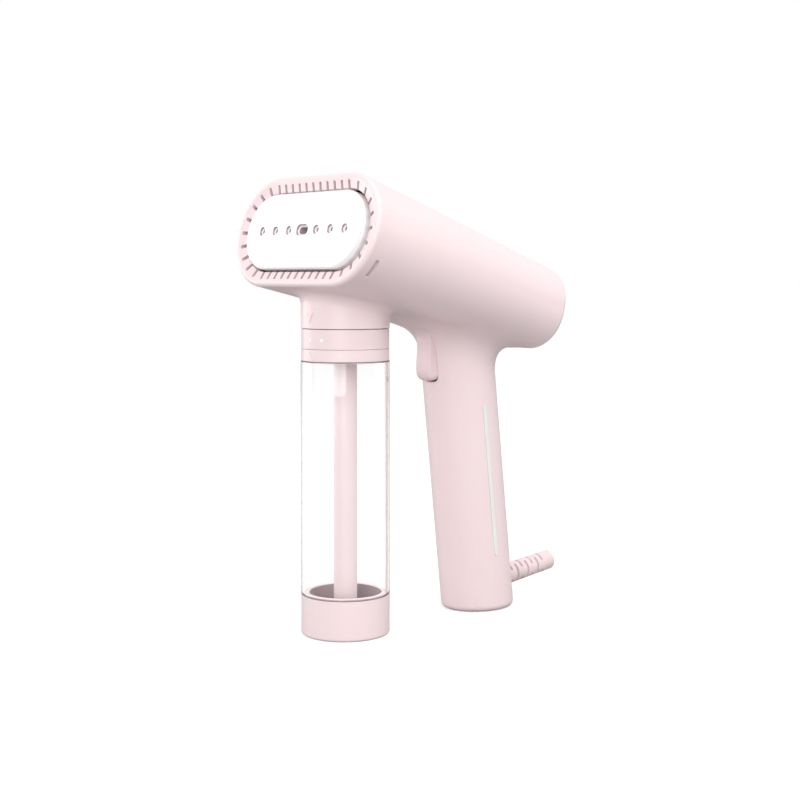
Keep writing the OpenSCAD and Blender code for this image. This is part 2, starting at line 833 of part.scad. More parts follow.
// One ring of the strain relief: two arcs cut away, leaving a pair of bridges
module relief_cut(turn) {
    rotate([0, turn, 0]) rotate([-90, 0, 0]) difference() {
        ring(relief_r + 1, relief_core, 0, relief_slot_w);
        translate([-bridge_half, -10, -1]) cube([2 * bridge_half, 20, 4]);
    }
}

module strain_relief() {
    color([0.95, 0.85, 0.86]) on_grip() translate([0, 0, relief_z]) difference() {
        rotate([-90, 0, 0]) {
            translate([0, 0, flange_y - flange_t]) cylinder(r = flange_r, h = flange_t);
            translate([0, 0, flange_y - 0.5]) cylinder(r = relief_r, h = grip_ry - flange_y + 1);
            translate([0, 0, grip_ry]) cylinder(r1 = relief_r, r2 = relief_end_r, h = relief_len - 0.6);
            translate([0, 0, relief_end - 0.6 - eps])
                cylinder(r1 = relief_end_r, r2 = relief_end_r - 0.6, h = 0.6 + eps);
        }
        translate([0, flange_y - flange_t - 1, 0]) rotate([-90, 0, 0]) cylinder(d = cord_bore, h = 80);
        for (i = [0 : relief_slots - 1])
            translate([0, grip_ry + 2.6 + i * relief_pitch, 0]) relief_cut(i % 2 == 0 ? 90 : 0);
    }
}

module cord_clamp() {
    color([0.9, 0.9, 0.88]) on_grip() difference() {
        translate([-9, -3, relief_z + cord_bore / 2 - 0.4]) cube([18, 6, 5]);
        for (side = [-1, 1]) translate([side * 6.6, 0, 0]) cylinder(r = screw_r + 0.2, h = 60);
        translate([0, -10, relief_z]) rotate([-90, 0, 0]) cylinder(d = cord_bore, h = 20);
    }
}

module clamp_screws() {
    color([0.8, 0.8, 0.8]) on_grip() for (side = [-1, 1]) translate([side * 6.6, 0, foot_t + 6])
        screw(relief_z + cord_bore / 2 - 0.4 + 5 - foot_t - 6);
}

// ---- Electronics ----

module control_board() {
    color([0.2, 0.45, 0.3]) on_face() difference() {
        translate([-board_w / 2, board_y, board_back]) cube([board_w, board_t, board_front - board_back]);
        board_screw_places() cylinder(r = screw_r + 0.1, h = 10, center = true);
    }
}

module board_screw_places() {
    for (side = [-1, 1]) for (z = [board_front - 4, board_back + 4])
        translate([side * (board_w / 2 - 4), board_y, z]) rotate([-90, 0, 0]) children();
}

module board_screws() {
    color([0.8, 0.8, 0.8]) on_face() board_screw_places()
        translate([0, 0, board_t + 5]) rotate([180, 0, 0]) screw(board_t + 5);
}

module board_parts() {
    color([0.15, 0.3, 0.6]) on_face() translate([0, board_y + board_t, 0]) {
        translate([-18, 0, -72]) cube([14, 6, 12]);
        translate([8, 0, -84]) cube([12, 5, 18]);
        translate([-14, 0, -94]) rotate([-90, 0, 0]) cylinder(r = 4, h = 6);
        translate([-2, 0, -94]) rotate([-90, 0, 0]) cylinder(r = 2.5, h = 6);
    }
}

module supply_leads() {
    color([0.45, 0.3, 0.2]) on_grip() for (x = [-12, -8]) translate([x, 10, 28])
        cylinder(r = 1.2, h = 150);
}

casing_left();
casing_right();
bezel_ring();
soleplate();
steam_chamber();
heating_element();
chamber_gasket();
chamber_cover();
chamber_screws();
thermostat();
thermal_fuse();
heat_shield();
water_pump();
pump_cradle();
inlet_hose();
steam_feed_hose();
control_board();
board_parts();
board_screws();
supply_leads();
tank_socket();
socket_clip();
lock_ring();
lock_dots();
tank_collar();
tank_seal();
tank_tube();
tube_gaskets();
tank_base();
suction_pipe();
pipe_filter();
trigger();
trigger_pin();
trigger_spring();
microswitch();
switch_button();
light_strips();
strip_board();
grip_foot();
strain_relief();
cord_clamp();
clamp_screws();
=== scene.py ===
import json
import math

import bmesh
import bpy
import numpy as np
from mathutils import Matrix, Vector


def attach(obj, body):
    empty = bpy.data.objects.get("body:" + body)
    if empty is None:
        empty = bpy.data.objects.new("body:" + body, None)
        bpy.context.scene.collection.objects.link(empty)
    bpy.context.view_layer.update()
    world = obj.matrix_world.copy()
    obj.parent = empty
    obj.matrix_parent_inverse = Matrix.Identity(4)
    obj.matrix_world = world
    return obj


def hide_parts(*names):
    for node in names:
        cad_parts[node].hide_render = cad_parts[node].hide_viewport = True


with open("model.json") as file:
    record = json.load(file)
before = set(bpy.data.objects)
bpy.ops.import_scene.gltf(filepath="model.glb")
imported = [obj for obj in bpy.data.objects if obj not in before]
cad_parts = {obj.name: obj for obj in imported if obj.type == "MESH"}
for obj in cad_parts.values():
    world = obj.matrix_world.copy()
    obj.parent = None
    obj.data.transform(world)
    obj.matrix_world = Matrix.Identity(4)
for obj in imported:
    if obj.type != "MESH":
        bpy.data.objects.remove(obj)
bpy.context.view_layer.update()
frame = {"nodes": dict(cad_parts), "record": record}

MM = 0.001

# ---- Dimensions, in millimetres ----

# The face is a stadium of arcs with radius FACE_R and centres at +-FACE_C, leaning back by TILT.
FACE_REACH, FACE_Z, TILT = 26.7, 211.4, math.radians(13.85)
FACE_R, FACE_C = 29.6, 29.6
RIM_R, RIM_FRONT, RIM_SLOPE, CASING_FRONT = 2.2, 1.82, 0.35, 0.92
SLOT_IN, SLOT_OUT, SLOT_HALF, SLOT_FLOOR = 20.8, 25.7, 0.95, -4.6
PLATE_C, PLATE_R, PLATE_FRONT = 28.95, 20.45, 1.6
VENT_PITCH = 11.64

# The head tapers from the face to its rear end, and the grip and the neck blend into it.
HEAD_LEN, REAR_W, REAR_H, REAR_R, REAR_DROP, REAR_EDGE = 157.1, 86.7, 47.4, 21.8, 4.6, 4.2
GRIP_BLEND, NECK_BLEND = 17.5, 6.0
GRIP_TOP, NECK_TOP = 182, 190
WALL = 2.4
CATCH = (-8.3, -5.9)

# Neck, ring, collar and tank stand on one upright axis.
NECK_R, RING_TOP, COLLAR_TOP, COLLAR_R = 23.4, 161.0, 150.2, 23.2
TUBE_R, TUBE_IN, TUBE_LOW, TUBE_TOP = 23.5, 21.5, 21.4, 143.4
BASE_R, BASE_H, BASE_ROUND, CUP_R = 23.35, 20.9, 2.6, 19.0
PIPE_R, PIPE_BORE, PIPE_TOP = 6.2, 4.4, 159.0
MARK_H, MARK_HALF, MARK_PROUD = 5.0, 2.5, 0.55
DOT_R, DOT_Z, RING_TURN = 1.1, 155.0, 20

# The grip is an oval leaning by LEAN. The trigger, strips, foot and relief are placed in its frame.
GRIP_RX, GRIP_RY, GRIP_REACH, LEAN = 19.2, 21.7, 96.5, math.radians(6.4)
STRIP_Y, STRIP_HALF, STRIP_LOW, STRIP_LEN = 0.0, 1.3, 31.6, 86.6
TRIGGER_HALF, TRIGGER_EDGE, TRIGGER_LOW, TRIGGER_TOP = 5.7, 1.6, 133.8, 163.6
TRIGGER_BOTTOM_R, TRIGGER_BACK, TRIGGER_GAP = 3.5, -14.0, 0.22
BLEND_START, BLEND_LEN = 151.5, 11.5
FOOT_INSET, FOOT_GAP = 4.2, 0.25
RELIEF_Z, RELIEF_R, RELIEF_END_R, RELIEF_LEN = 12.0, 6.0, 5.6, 38.6
NOTCH_FIRST, NOTCH_PITCH, NOTCH_WIDE = 2.4, 4.2, 1.6

front_end = -FACE_REACH - (FACE_R - 1) * math.sin(TILT) - math.cos(TILT)
rear_end = (GRIP_REACH + (GRIP_RY + RELIEF_LEN) * math.cos(LEAN)
            - (RELIEF_Z - RELIEF_END_R + 0.6) * math.sin(LEAN))
TANK_Y = -(front_end + rear_end) / 2


def tilted(origin, angle):
    """Frame turned about +X, as (origin, rotation matrix whose columns are its axes)."""
    c, s = math.cos(angle), math.sin(angle)
    return np.array(origin, float), np.array([[1, 0, 0], [0, c, -s], [0, s, c]], float)


FACE = tilted((0, TANK_Y - FACE_REACH, FACE_Z), math.pi / 2 - TILT)
GRIP = tilted((0, TANK_Y + GRIP_REACH, 0), LEAN)
TANK = tilted((0, TANK_Y, 0), 0)


def inward(frm, p):
    return (p - frm[0]) @ frm[1]


def outward(frm, p):
    return np.asarray(p, float) @ frm[1].T + frm[0]


# ---- Mesh helpers ----

def make(name, verts, faces, frm=None):
    """Object from millimetre points in one of the frames above."""
    v = np.asarray(verts, float)
    if frm is not None:
        v = outward(frm, v)
    me = bpy.data.meshes.new(name)
    me.from_pydata((v * MM).tolist(), [], [list(map(int, f)) for f in faces])
    me.validate()
    me.update()
    ob = bpy.data.objects.new(name, me)
    bpy.context.collection.objects.link(ob)
    return ob


def outward_normals(ob):
    bm = bmesh.new()
    bm.from_mesh(ob.data)
    bmesh.ops.recalc_face_normals(bm, faces=bm.faces)
    bm.to_mesh(ob.data)
    bm.free()


def loop_mesh(rings, closed_path=True, caps=False):
    """Quads between successive closed rings of equal length."""
    n, m = len(rings), len(rings[0])
    verts = np.concatenate(rings)
    faces = []
    for i in range(n if closed_path else n - 1):
        k = (i + 1) % n
        for j in range(m):
            l = (j + 1) % m
            faces.append((i * m + j, k * m + j, k * m + l, i * m + l))
    if caps and not closed_path:
        faces.append(tuple(range(m))[::-1])
        faces.append(tuple(range((n - 1) * m, n * m)))
    return verts, faces


def rounded(points, parts=5):
    """Closed outline from (x, y, radius) corners, each corner turned into an arc."""
    out = []
    n = len(points)
    for i in range(n):
        p0, p1, p2 = (np.array(points[(i + k) % n][:2], float) for k in (-1, 0, 1))
        r = points[i][2] if len(points[i]) > 2 else 0
        if r <= 0:
            out.append(p1)
            continue
        a, b = p0 - p1, p2 - p1
        la, lb = np.linalg.norm(a), np.linalg.norm(b)
        a, b = a / la, b / lb
        half = math.acos(max(-1, min(1, float(a @ b)))) / 2
        back = min(r / math.tan(half), la * 0.49, lb * 0.49)
        r = back * math.tan(half)
        centre = p1 + (a + b) / np.linalg.norm(a + b) * (r / math.sin(half))
        s, e = p1 + a * back - centre, p1 + b * back - centre
        a0, a1 = math.atan2(s[1], s[0]), math.atan2(e[1], e[0])
        turn = (a1 - a0 + math.pi) % (2 * math.pi) - math.pi
        for t in np.linspace(0, 1, parts + 1):
            ang = a0 + turn * t
            out.append(centre + r * np.array([math.cos(ang), math.sin(ang)]))
    return np.array(out)


def lathe(name, profile, frm=TANK, segments=160, axis="z"):
    """Closed (radius, height) profile turned about the frame's Z axis, or its Y axis."""
    prof = np.asarray(profile, float)
    rings = []
    for k in range(segments):
        a = 2 * math.pi * k / segments
        c, s = math.cos(a), math.sin(a)
        if axis == "z":
            rings.append(np.stack([prof[:, 0] * c, prof[:, 0] * s, prof[:, 1]], 1))
        else:
            rings.append(np.stack([prof[:, 0] * c, prof[:, 1], -prof[:, 0] * s], 1))
    v, f = loop_mesh(rings)
    ob = make(name, v, f, frm)
    weld(ob)
    outward_normals(ob)
    return ob


def weld(ob, dist=1e-6):
    bm = bmesh.new()
    bm.from_mesh(ob.data)
    bmesh.ops.remove_doubles(bm, verts=bm.verts, dist=dist)
    bmesh.ops.dissolve_degenerate(bm, edges=bm.edges, dist=1e-8)
    bm.to_mesh(ob.data)
    bm.free()


def prism(name, outline, low, high, frm, axes=(0, 1, 2)):
    """Outline extruded between two heights; axes says which frame axes its x, y and height use."""
    o = np.asarray(outline, float)
    rings = []
    for h in (low, high):
        ring = np.zeros((len(o), 3))
        ring[:, axes[0]], ring[:, axes[1]], ring[:, axes[2]] = o[:, 0], o[:, 1], h
        rings.append(ring)
    v, f = loop_mesh(rings, closed_path=False, caps=True)
    ob = make(name, v, f, frm)
    outward_normals(ob)
    return ob


def joined(name, obs):
    bm = bmesh.new()
    for o in obs:
        bm.from_mesh(o.data)
    me = bpy.data.meshes.new(name)
    bm.to_mesh(me)
    bm.free()
    for o in obs:
        bpy.data.objects.remove(o, do_unlink=True)
    ob = bpy.data.objects.new(name, me)
    bpy.context.collection.objects.link(ob)
    return ob


def cut(ob, cutter):
    mod = ob.modifiers.new("cut", "BOOLEAN")
    mod.operation = "DIFFERENCE"
    mod.solver = "MANIFOLD"
    mod.object = cutter
    dg = bpy.context.evaluated_depsgraph_get()
    before = len(ob.data.polygons)
    me = bpy.data.meshes.new_from_object(ob.evaluated_get(dg))
    if len(me.polygons) < 4:
        raise RuntimeError("the cut emptied " + ob.name)
    if len(me.polygons) == before:
        print("the cut changed nothing on", ob.name)
    ob.modifiers.clear()
    ob.data = me
    bpy.data.objects.remove(cutter, do_unlink=True)
    return ob


def smooth(ob, angle=32):
    """Smooth shading with hard edges above the angle, flat faces kept flat."""
    me = ob.data
    me.polygons.foreach_set("use_smooth", [True] * len(me.polygons))
    me.set_sharp_from_angle(angle=math.radians(angle))
    mod = ob.modifiers.new("weighted", "WEIGHTED_NORMAL")
    mod.keep_sharp = True
    dg = bpy.context.evaluated_depsgraph_get()
    new = bpy.data.meshes.new_from_object(ob.evaluated_get(dg))
    ob.modifiers.clear()
    ob.data = new
    return ob


# ---- Signed distances of the casing, in row millimetres ----

def smin(a, b, k):
    h = np.clip(k - np.abs(a - b), 0, None) / k
    return np.minimum(a, b) - h * h * k / 4


def rmax(a, b, r):
    """Intersection with its edge rounded to radius r."""
    return (np.minimum(np.maximum(a, b), -r)
            + np.hypot(np.maximum(a + r, 0), np.maximum(b + r, 0)))


def head_side(q, inset):
    """Distance to the head's tapering side wall, and the depth behind the rim's plane."""
    s = -q[:, 2]
    t = np.clip((s - 1.5) / (HEAD_LEN - REAR_EDGE - 1.5), 0, 1.2)
    cx = FACE_C + t * (REAR_W / 2 - REAR_R - FACE_C)
    cy = t * (REAR_H / 2 - REAR_R)
    r = FACE_R + t * (REAR_R - FACE_R) - inset
    dx = np.maximum(np.abs(q[:, 0]) - cx, 0)
    dy = np.maximum(np.abs(q[:, 1] + t * REAR_DROP) - cy, 0)
    return np.hypot(dx, dy) - r, s


def oval(q, inset):
    a, b = GRIP_RX - inset, GRIP_RY - inset
    k0 = np.hypot(q[:, 0] / a, q[:, 1] / b)
    k1 = np.hypot(q[:, 0] / a ** 2, q[:, 1] / b ** 2)
    return k0 * (k0 - 1) / np.maximum(k1, 1e-9)


def casing_outer(p):
    q, g = inward(FACE, p), inward(GRIP, p)
    side, s = head_side(q, 0)
    head = rmax(rmax(side, s - HEAD_LEN, REAR_EDGE), -CASING_FRONT - s, RIM_R)
    grip = np.maximum(rmax(oval(g, 0), -p[:, 2], 3.0), g[:, 2] - GRIP_TOP)
    radial = np.hypot(p[:, 0], p[:, 1] - TANK_Y) - NECK_R
    neck = np.maximum(np.maximum(radial, RING_TOP - 3 - p[:, 2]), p[:, 2] - NECK_TOP)
    return smin(smin(head, grip, GRIP_BLEND), neck, NECK_BLEND)


def casing_inner(p):
    """The cavity, which runs out through the face and through the neck's lower end."""
    q, g = inward(FACE, p), inward(GRIP, p)
    side, s = head_side(q, WALL)
    head = np.maximum(np.maximum(side, s - HEAD_LEN + WALL), -6 - s)
    grip = np.maximum(np.maximum(oval(g, WALL), 4.5 - p[:, 2]), g[:, 2] - GRIP_TOP)
    radial = np.hypot(p[:, 0], p[:, 1] - TANK_Y) - NECK_R + WALL
    neck = np.maximum(np.maximum(radial, RING_TOP - 6 - p[:, 2]), p[:, 2] - NECK_TOP)
    return smin(smin(head, grip, GRIP_BLEND - 6), neck, NECK_BLEND - 2)


def gradient(f, p, e=0.02):
    g = np.empty_like(p)
    for k in range(3):
        d = np.zeros(3)
        d[k] = e
        g[:, k] = (f(p + d) - f(p - d)) / (2 * e)
    return g


def surface_net(xs, ys, zs, frm, f):
    """Quad mesh of the zero level of f over a rectilinear grid laid out in a frame."""
    shape = (len(xs), len(ys), len(zs))
    grid = np.stack(np.meshgrid(xs, ys, zs, indexing="ij"), -1).reshape(-1, 3)
    values = np.concatenate([f(outward(frm, part)) for part in np.array_split(grid, 12)])
    v = values.reshape(shape)
    grid = grid.reshape(shape + (3,))
    inside = v < 0
    cells = tuple(n - 1 for n in shape)
    total, count = np.zeros(cells + (3,)), np.zeros(cells)

    def part(a, off):
        return a[tuple(slice(o, o + c) for o, c in zip(off, cells))]

    corners = [(i, j, k) for i in (0, 1) for j in (0, 1) for k in (0, 1)]
    for a in corners:
        for axis in range(3):
            if a[axis] == 1:
                continue
            b = tuple(c + (1 if i == axis else 0) for i, c in enumerate(a))
            va, vb = part(v, a), part(v, b)
            cross = part(inside, a) != part(inside, b)
            w = np.where(cross, va / np.where(cross, va - vb, 1), 0)
            pt = part(grid, a) + (part(grid, b) - part(grid, a)) * w[..., None]
            total += np.where(cross[..., None], pt, 0)
            count += cross
    active = count > 0
    index = np.full(cells, -1)
    index[active] = np.arange(active.sum())
    verts = total[active] / count[active][:, None]
    faces = []
    for axis in range(3):
        o1, o2 = [a for a in range(3) if a != axis]
        sl = [slice(None)] * 3
        low, high = list(sl), list(sl)
        low[axis], high[axis] = slice(0, shape[axis] - 1), slice(1, shape[axis])
        for near in (low, high):
            near[o1] = slice(1, shape[o1] - 1)
            near[o2] = slice(1, shape[o2] - 1)
        a, b = inside[tuple(low)], inside[tuple(high)]
        where = np.argwhere(a != b)
        if not len(where):
            continue
        flip = a[tuple(where.T)] ^ (axis == 1)
        quad = []
        for d1, d2 in ((0, 0), (1, 0), (1, 1), (0, 1)):
            c = where.copy()
            c[:, o1] += d1
            c[:, o2] += d2
            quad.append(index[tuple(c.T)])
        quad = np.stack(quad, 1)
        quad[~flip] = quad[~flip][:, ::-1]
        faces.append(quad)
    faces = np.concatenate(faces)
    return verts, faces[(faces >= 0).all(1)]


def spaced(a, b, size):
    """Even steps of about this size."""
    return np.linspace(a, b, max(2, int(round(abs(b - a) / size)) + 1))


CELL = 1.6


def skin(name, f, xs, ys, zs):
    """Closed mesh of a field's zero level: its +X half is meshed and mirrored."""
    v, quads = surface_net(xs, ys, zs, FACE, f)
    middle = v[:, 0] < xs[1]
    p = outward(FACE, v)
    for _ in range(4):
        g = gradient(f, p)
        d = f(p)[:, None] * g / np.maximum((g * g).sum(1), 0.2)[:, None]
        d[middle, 0] = 0
        p = p - np.clip(d, -0.6, 0.6)
    p[middle, 0] = 0
    other = np.arange(len(p)) + len(p)
    other[middle] = np.nonzero(middle)[0]
    ob = make(name, np.concatenate([p, p * [-1, 1, 1]]),
              np.concatenate([quads, other[quads][:, ::-1]]))
    bm = bmesh.new()
    bm.from_mesh(ob.data)
    bmesh.ops.delete(bm, geom=[x for x in bm.verts if not x.link_faces], context="VERTS")
    bm.to_mesh(ob.data)
    bm.free()
    outward_normals(ob)
    return ob


def casing_mesh(name):
    """The whole shell: the outside with the cavity cut out of it."""
    xs = np.concatenate([[-CELL / 2], np.arange(CELL / 2, 62, CELL)])
    ys = spaced(-232, 34, CELL)
    zs = np.concatenate([spaced(-200, -3, CELL)[:-1], spaced(-3, 2, 0.3)])
    out = skin(name, casing_outer, xs, ys, zs)
    zs = spaced(-200, 8, CELL)
    return cut(out, skin("cavity", casing_inner, xs, ys, zs))


def analytic_normals(ob, fields, limit=0.82):
    """Corner normals from a signed field where a face lies on it, and flat elsewhere."""
    me = ob.data
    nv, nl = len(me.vertices), len(me.loops)
    co = np.empty(nv * 3)
    me.vertices.foreach_get("co", co)
    p = co.reshape(-1, 3) / MM
    vi = np.empty(nl, int)
    me.loops.foreach_get("vertex_index", vi)
    total = np.empty(len(me.polygons), int)
    me.polygons.foreach_get("loop_total", total)
    pn = np.empty(len(me.polygons) * 3)
    me.polygons.foreach_get("normal", pn)
    normals = np.repeat(pn.reshape(-1, 3), total, axis=0)
    flat = normals.copy()
    for sign, f in fields:
        g = sign * gradient(f, p)
        g /= np.maximum(np.linalg.norm(g, axis=1), 1e-9)[:, None]
        near = np.abs(f(p)) < 0.1
        gn = g[vi]
        use = near[vi] & ((gn * flat).sum(1) > limit)
        normals = np.where(use[:, None], gn, normals)
    me.polygons.foreach_set("use_smooth", [True] * len(me.polygons))
    me.normals_split_custom_set(normals.tolist())


# ---- Materials ----

class Nodes:
    """A node material round one Principled shader, with object coordinates."""

    def __init__(self, name):
        self.mat = bpy.data.materials.new(name)
        self.mat.use_nodes = True
        self.tree = self.mat.node_tree
        self.tree.nodes.clear()
        self.out = self.add("ShaderNodeOutputMaterial")
        self.bsdf = self.add("ShaderNodeBsdfPrincipled")
        self.link(self.bsdf, "BSDF", self.out, "Surface")
        self.coord = self.add("ShaderNodeTexCoord")

    def add(self, kind, **values):
        node = self.tree.nodes.new(kind)
        for key, value in values.items():
            if hasattr(node, key):
                setattr(node, key, value)
            else:
                node.inputs[key].default_value = value
        return node

    def link(self, a, out, b, socket):
        self.tree.links.new(a.outputs[out], b.inputs[socket])

    def noise(self, scale, detail=3.0, rough=0.5, stretch=None):
        n = self.add("ShaderNodeTexNoise", Scale=scale, Detail=detail, Roughness=rough)
        if stretch:
            m = self.add("ShaderNodeMapping")
            m.inputs["Scale"].default_value = stretch
            self.link(self.coord, "Object", m, "Vector")
            self.link(m, "Vector", n, "Vector")
        else:
            self.link(self.coord, "Object", n, "Vector")
        return n

    def ramp(self, source, out, stops):
        r = self.add("ShaderNodeValToRGB")
        el = r.color_ramp.elements
        while len(el) < len(stops):
            el.new(0.5)
        for e, (pos, col) in zip(el, stops):
            e.position = pos
            e.color = (*col, 1)
        self.link(source, out, r, "Fac")
        return r

    def range(self, source, out, low, high):
        m = self.add("ShaderNodeMapRange")
        m.inputs["From Min"].default_value, m.inputs["From Max"].default_value = 0.3, 0.7
        m.inputs["To Min"].default_value, m.inputs["To Max"].default_value = low, high
        self.link(source, out, m, "Value")
        return m

    def bump(self, source, out, strength, distance):
        b = self.add("ShaderNodeBump", Strength=strength, Distance=distance)
        self.link(source, out, b, "Height")
        self.link(b, "Normal", self.bsdf, "Normal")


def linear(r, g, b):
    """Scene-linear colour from 0-255 sRGB."""
    def one(c):
        c /= 255
        return c / 12.92 if c <= 0.04045 else ((c + 0.055) / 1.055) ** 2.4
    return one(r), one(g), one(b)


def shade(c, k):
    return tuple(min(1, x * k) for x in c)


def plastic(name, rgb, rough=(0.29, 0.36), grain=0.04, scatter=0.06, spread=0.008):
    """Moulded plastic: slight cloudiness, uneven gloss and a fine spark-eroded grain."""
    m = Nodes(name)
    base = linear(*rgb)
    cloud = m.noise(38, 3)
    col = m.ramp(cloud, "Fac", [(0.3, shade(base, 1 - spread)), (0.7, shade(base, 1 + spread))])
    m.link(col, "Color", m.bsdf, "Base Color")
    gloss = m.noise(240, 4, 0.6)
    m.link(m.range(gloss, "Fac", rough[0], rough[1]), "Result", m.bsdf, "Roughness")
    fine = m.noise(5200, 2, 0.5)
    m.bump(fine, "Fac", grain, 0.00002)
    if scatter:
        m.bsdf.inputs["Subsurface Weight"].default_value = scatter
        m.bsdf.inputs["Subsurface Radius"].default_value = (0.004, 0.0025, 0.0025)
        m.bsdf.inputs["Subsurface Scale"].default_value = 0.5
    m.bsdf.inputs["IOR"].default_value = 1.49
    return m.mat


def metal(name, rgb, rough=(0.3, 0.42), stretch=(1, 1, 30), scale=90, grain=0.12):
    m = Nodes(name)
    base = linear(*rgb)
    streak = m.noise(scale, 5, 0.6, stretch)
    col = m.ramp(streak, "Fac", [(0.25, shade(base, 0.82)), (0.75, shade(base, 1.08))])
    m.link(col, "Color", m.bsdf, "Base Color")
    m.bsdf.inputs["Metallic"].default_value = 1
    m.link(m.range(streak, "Fac", rough[0], rough[1]), "Result", m.bsdf, "Roughness")
    m.bump(streak, "Fac", grain, 0.00005)
    return m.mat


def rubbery(name, rgb, rough=(0.5, 0.7), grain=0.25):
    m = Nodes(name)
    base = linear(*rgb)
    cloud = m.noise(120, 4)
    col = m.ramp(cloud, "Fac", [(0.3, shade(base, 0.93)), (0.7, shade(base, 1.05))])
    m.link(col, "Color", m.bsdf, "Base Color")
    m.link(m.range(cloud, "Fac", rough[0], rough[1]), "Result", m.bsdf, "Roughness")
    fine = m.noise(3000, 2)
    m.bump(fine, "Fac", grain, 0.00003)
    return m.mat


def clear(name):
    """Polished clear plastic with faint smears."""
    m = Nodes(name)
    smear = m.noise(45, 4, 0.6, (1, 1, 0.25))
    col = m.ramp(smear, "Fac", [(0.3, (0.962, 0.966, 0.966)), (0.7, (0.972, 0.975, 0.975))])
    m.link(col, "Color", m.bsdf, "Base Color")
    m.link(m.range(smear, "Fac", 0.0, 0.035), "Result", m.bsdf, "Roughness")
    m.bsdf.inputs["Transmission Weight"].default_value = 1
    m.bsdf.inputs["IOR"].default_value = 1.49
    path = m.add("ShaderNodeLightPath")
    either = m.add("ShaderNodeMath", operation="MAXIMUM")
    m.tree.links.new(path.outputs["Is Shadow Ray"], either.inputs[0])
    m.tree.links.new(path.outputs["Is Diffuse Ray"], either.inputs[1])
    mix = m.add("ShaderNodeMixShader")
    through = m.add("ShaderNodeBsdfTransparent")
    m.link(either, "Value", mix, "Fac")
    m.tree.links.new(m.bsdf.outputs["BSDF"], mix.inputs[1])
    m.tree.links.new(through.outputs["BSDF"], mix.inputs[2])
    m.link(mix, "Shader", m.out, "Surface")
    return m.mat


def ceramic(name):
    m = Nodes(name)
    base = linear(252, 252, 252)
    speck = m.noise(900, 2, 0.4)
    col = m.ramp(speck, "Fac", [(0.28, shade(base, 0.965)), (0.42, base)])
    m.link(col, "Color", m.bsdf, "Base Color")
    cloud = m.noise(60, 3)
    m.link(m.range(cloud, "Fac", 0.15, 0.22), "Result", m.bsdf, "Roughness")
    m.bump(speck, "Fac", 0.03, 0.00003)
    m.bsdf.inputs["Coat Weight"].default_value = 0.4
    m.bsdf.inputs["Coat Roughness"].default_value = 0.06
    return m.mat


PINK = (250, 229, 231)
mats = {
    "casing": plastic("pink_plastic", PINK),
    "bezel": plastic("bezel_plastic", (250, 228, 231)),
    "ring_plastic": plastic("ring_plastic", (248, 227, 229), rough=(0.31, 0.38)),
    "trigger_plastic": plastic("trigger_plastic", (248, 226, 230), rough=(0.3, 0.4)),
    "ceramic": ceramic("white_ceramic"),
    "cast_aluminium": metal("cast_aluminium", (188, 189, 192), (0.42, 0.6), (1, 1, 1), 300, 0.3),
    "steel": metal("steel", (190, 190, 193)),
    "silicone": rubbery("silicone", (196, 110, 100)),
    "dark_plastic": plastic("dark_plastic", (84, 78, 79), (0.45, 0.6), 0.1, 0, 0.05),
    "rubber": rubbery("rubber", (56, 55, 56)),
    "hose": rubbery("hose_rubber", (226, 222, 216), (0.35, 0.5)),
    "board": plastic("solder_mask", (40, 98, 62), (0.3, 0.45), 0.08, 0, 0.06),
    "component": plastic("component_plastic", (170, 62, 50), (0.4, 0.5), 0.08, 0, 0.05),
    "lead": rubbery("lead_cover", (120, 78, 58), (0.35, 0.5)),
    "inner_plastic": plastic("inner_plastic", (226, 220, 217), (0.4, 0.5), 0.08, 0.03, 0.03),
    "dot_white": plastic("printed_white", (255, 255, 255), (0.35, 0.45), 0.05, 0, 0.008),
    "clear": clear("clear_plastic"),
    "gasket": rubbery("gasket_rubber", (142, 128, 131)),
    # Painted shade: a darker copy of the pink for the walls and floors of the slots and catches.
    "slot_painted_shade": plastic("slot_painted_shade", (228, 208, 211), (0.5, 0.6), 0.05, 0),
    # Painted shade: a dark pink-grey for the inside of the tank base's cup.
    "cup_painted_shade": plastic("cup_painted_shade", (172, 154, 158), (0.36, 0.44), 0.05, 0),
    # Bare metal for the vents' sloping walls, toned darker partly as painted shade.
    "vent_wall_painted_shade": metal("vent_metal_painted_shade", (205, 190, 192), (0.35, 0.5), (1, 1, 1), 200, 0.1),
    # Painted shade: a darker pink-grey for the vents' bores and the sheet under the bezel slots.
    "hole_painted_shade": plastic("hole_painted_shade", (196, 176, 180), (0.5, 0.6), 0.05, 0),
    "light_strip": plastic("light_guide", (244, 244, 240), (0.3, 0.4), 0.06, 0.2, 0.02),
    "relief_rubber": rubbery("relief_rubber", (240, 221, 223), (0.4, 0.55), 0.15),
}

record_slots = {s["node"]: s["material_slot"] for s in frame["record"]["subparts"]}
for node_name, node in frame["nodes"].items():
    node.data.materials.clear()
    node.data.materials.append(mats[record_slots[node_name]])


def finish_piece(ob, slot, body, *nodes):
    ob.data.materials.clear()
    ob.data.materials.append(mats[slot])
    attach(ob, body)
    if nodes:
        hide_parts(*nodes)
    return ob


# ---- Cutters shared by the casing ----

def stadium_outline(length, width, n=10):
    r, h = width / 2, (length - width) / 2
    pts = [(h + r * math.cos(a), r * math.sin(a)) for a in np.linspace(-math.pi / 2, math.pi / 2, n)]
    return np.array(pts + [(-x, -y) for x, y in pts])


def wedge(name, r0, r1, a0, a1, z0, z1, frm, centre=(0, 0), n=24):
    """Block between two radii and two angles (degrees), standing on the frame's X-Y plane."""
    rings = []
    for a in np.radians(np.linspace(a0, a1, n)):
        c, s = math.cos(a), math.sin(a)
        rings.append(np.array([(centre[0] + r * c, centre[1] + r * s, z)
                               for r, z in ((r0, z0), (r1, z0), (r1, z1), (r0, z1))]))
    v, f = loop_mesh(rings, closed_path=False, caps=True)
    ob = make(name, v, f, frm)
    outward_normals(ob)
    return ob


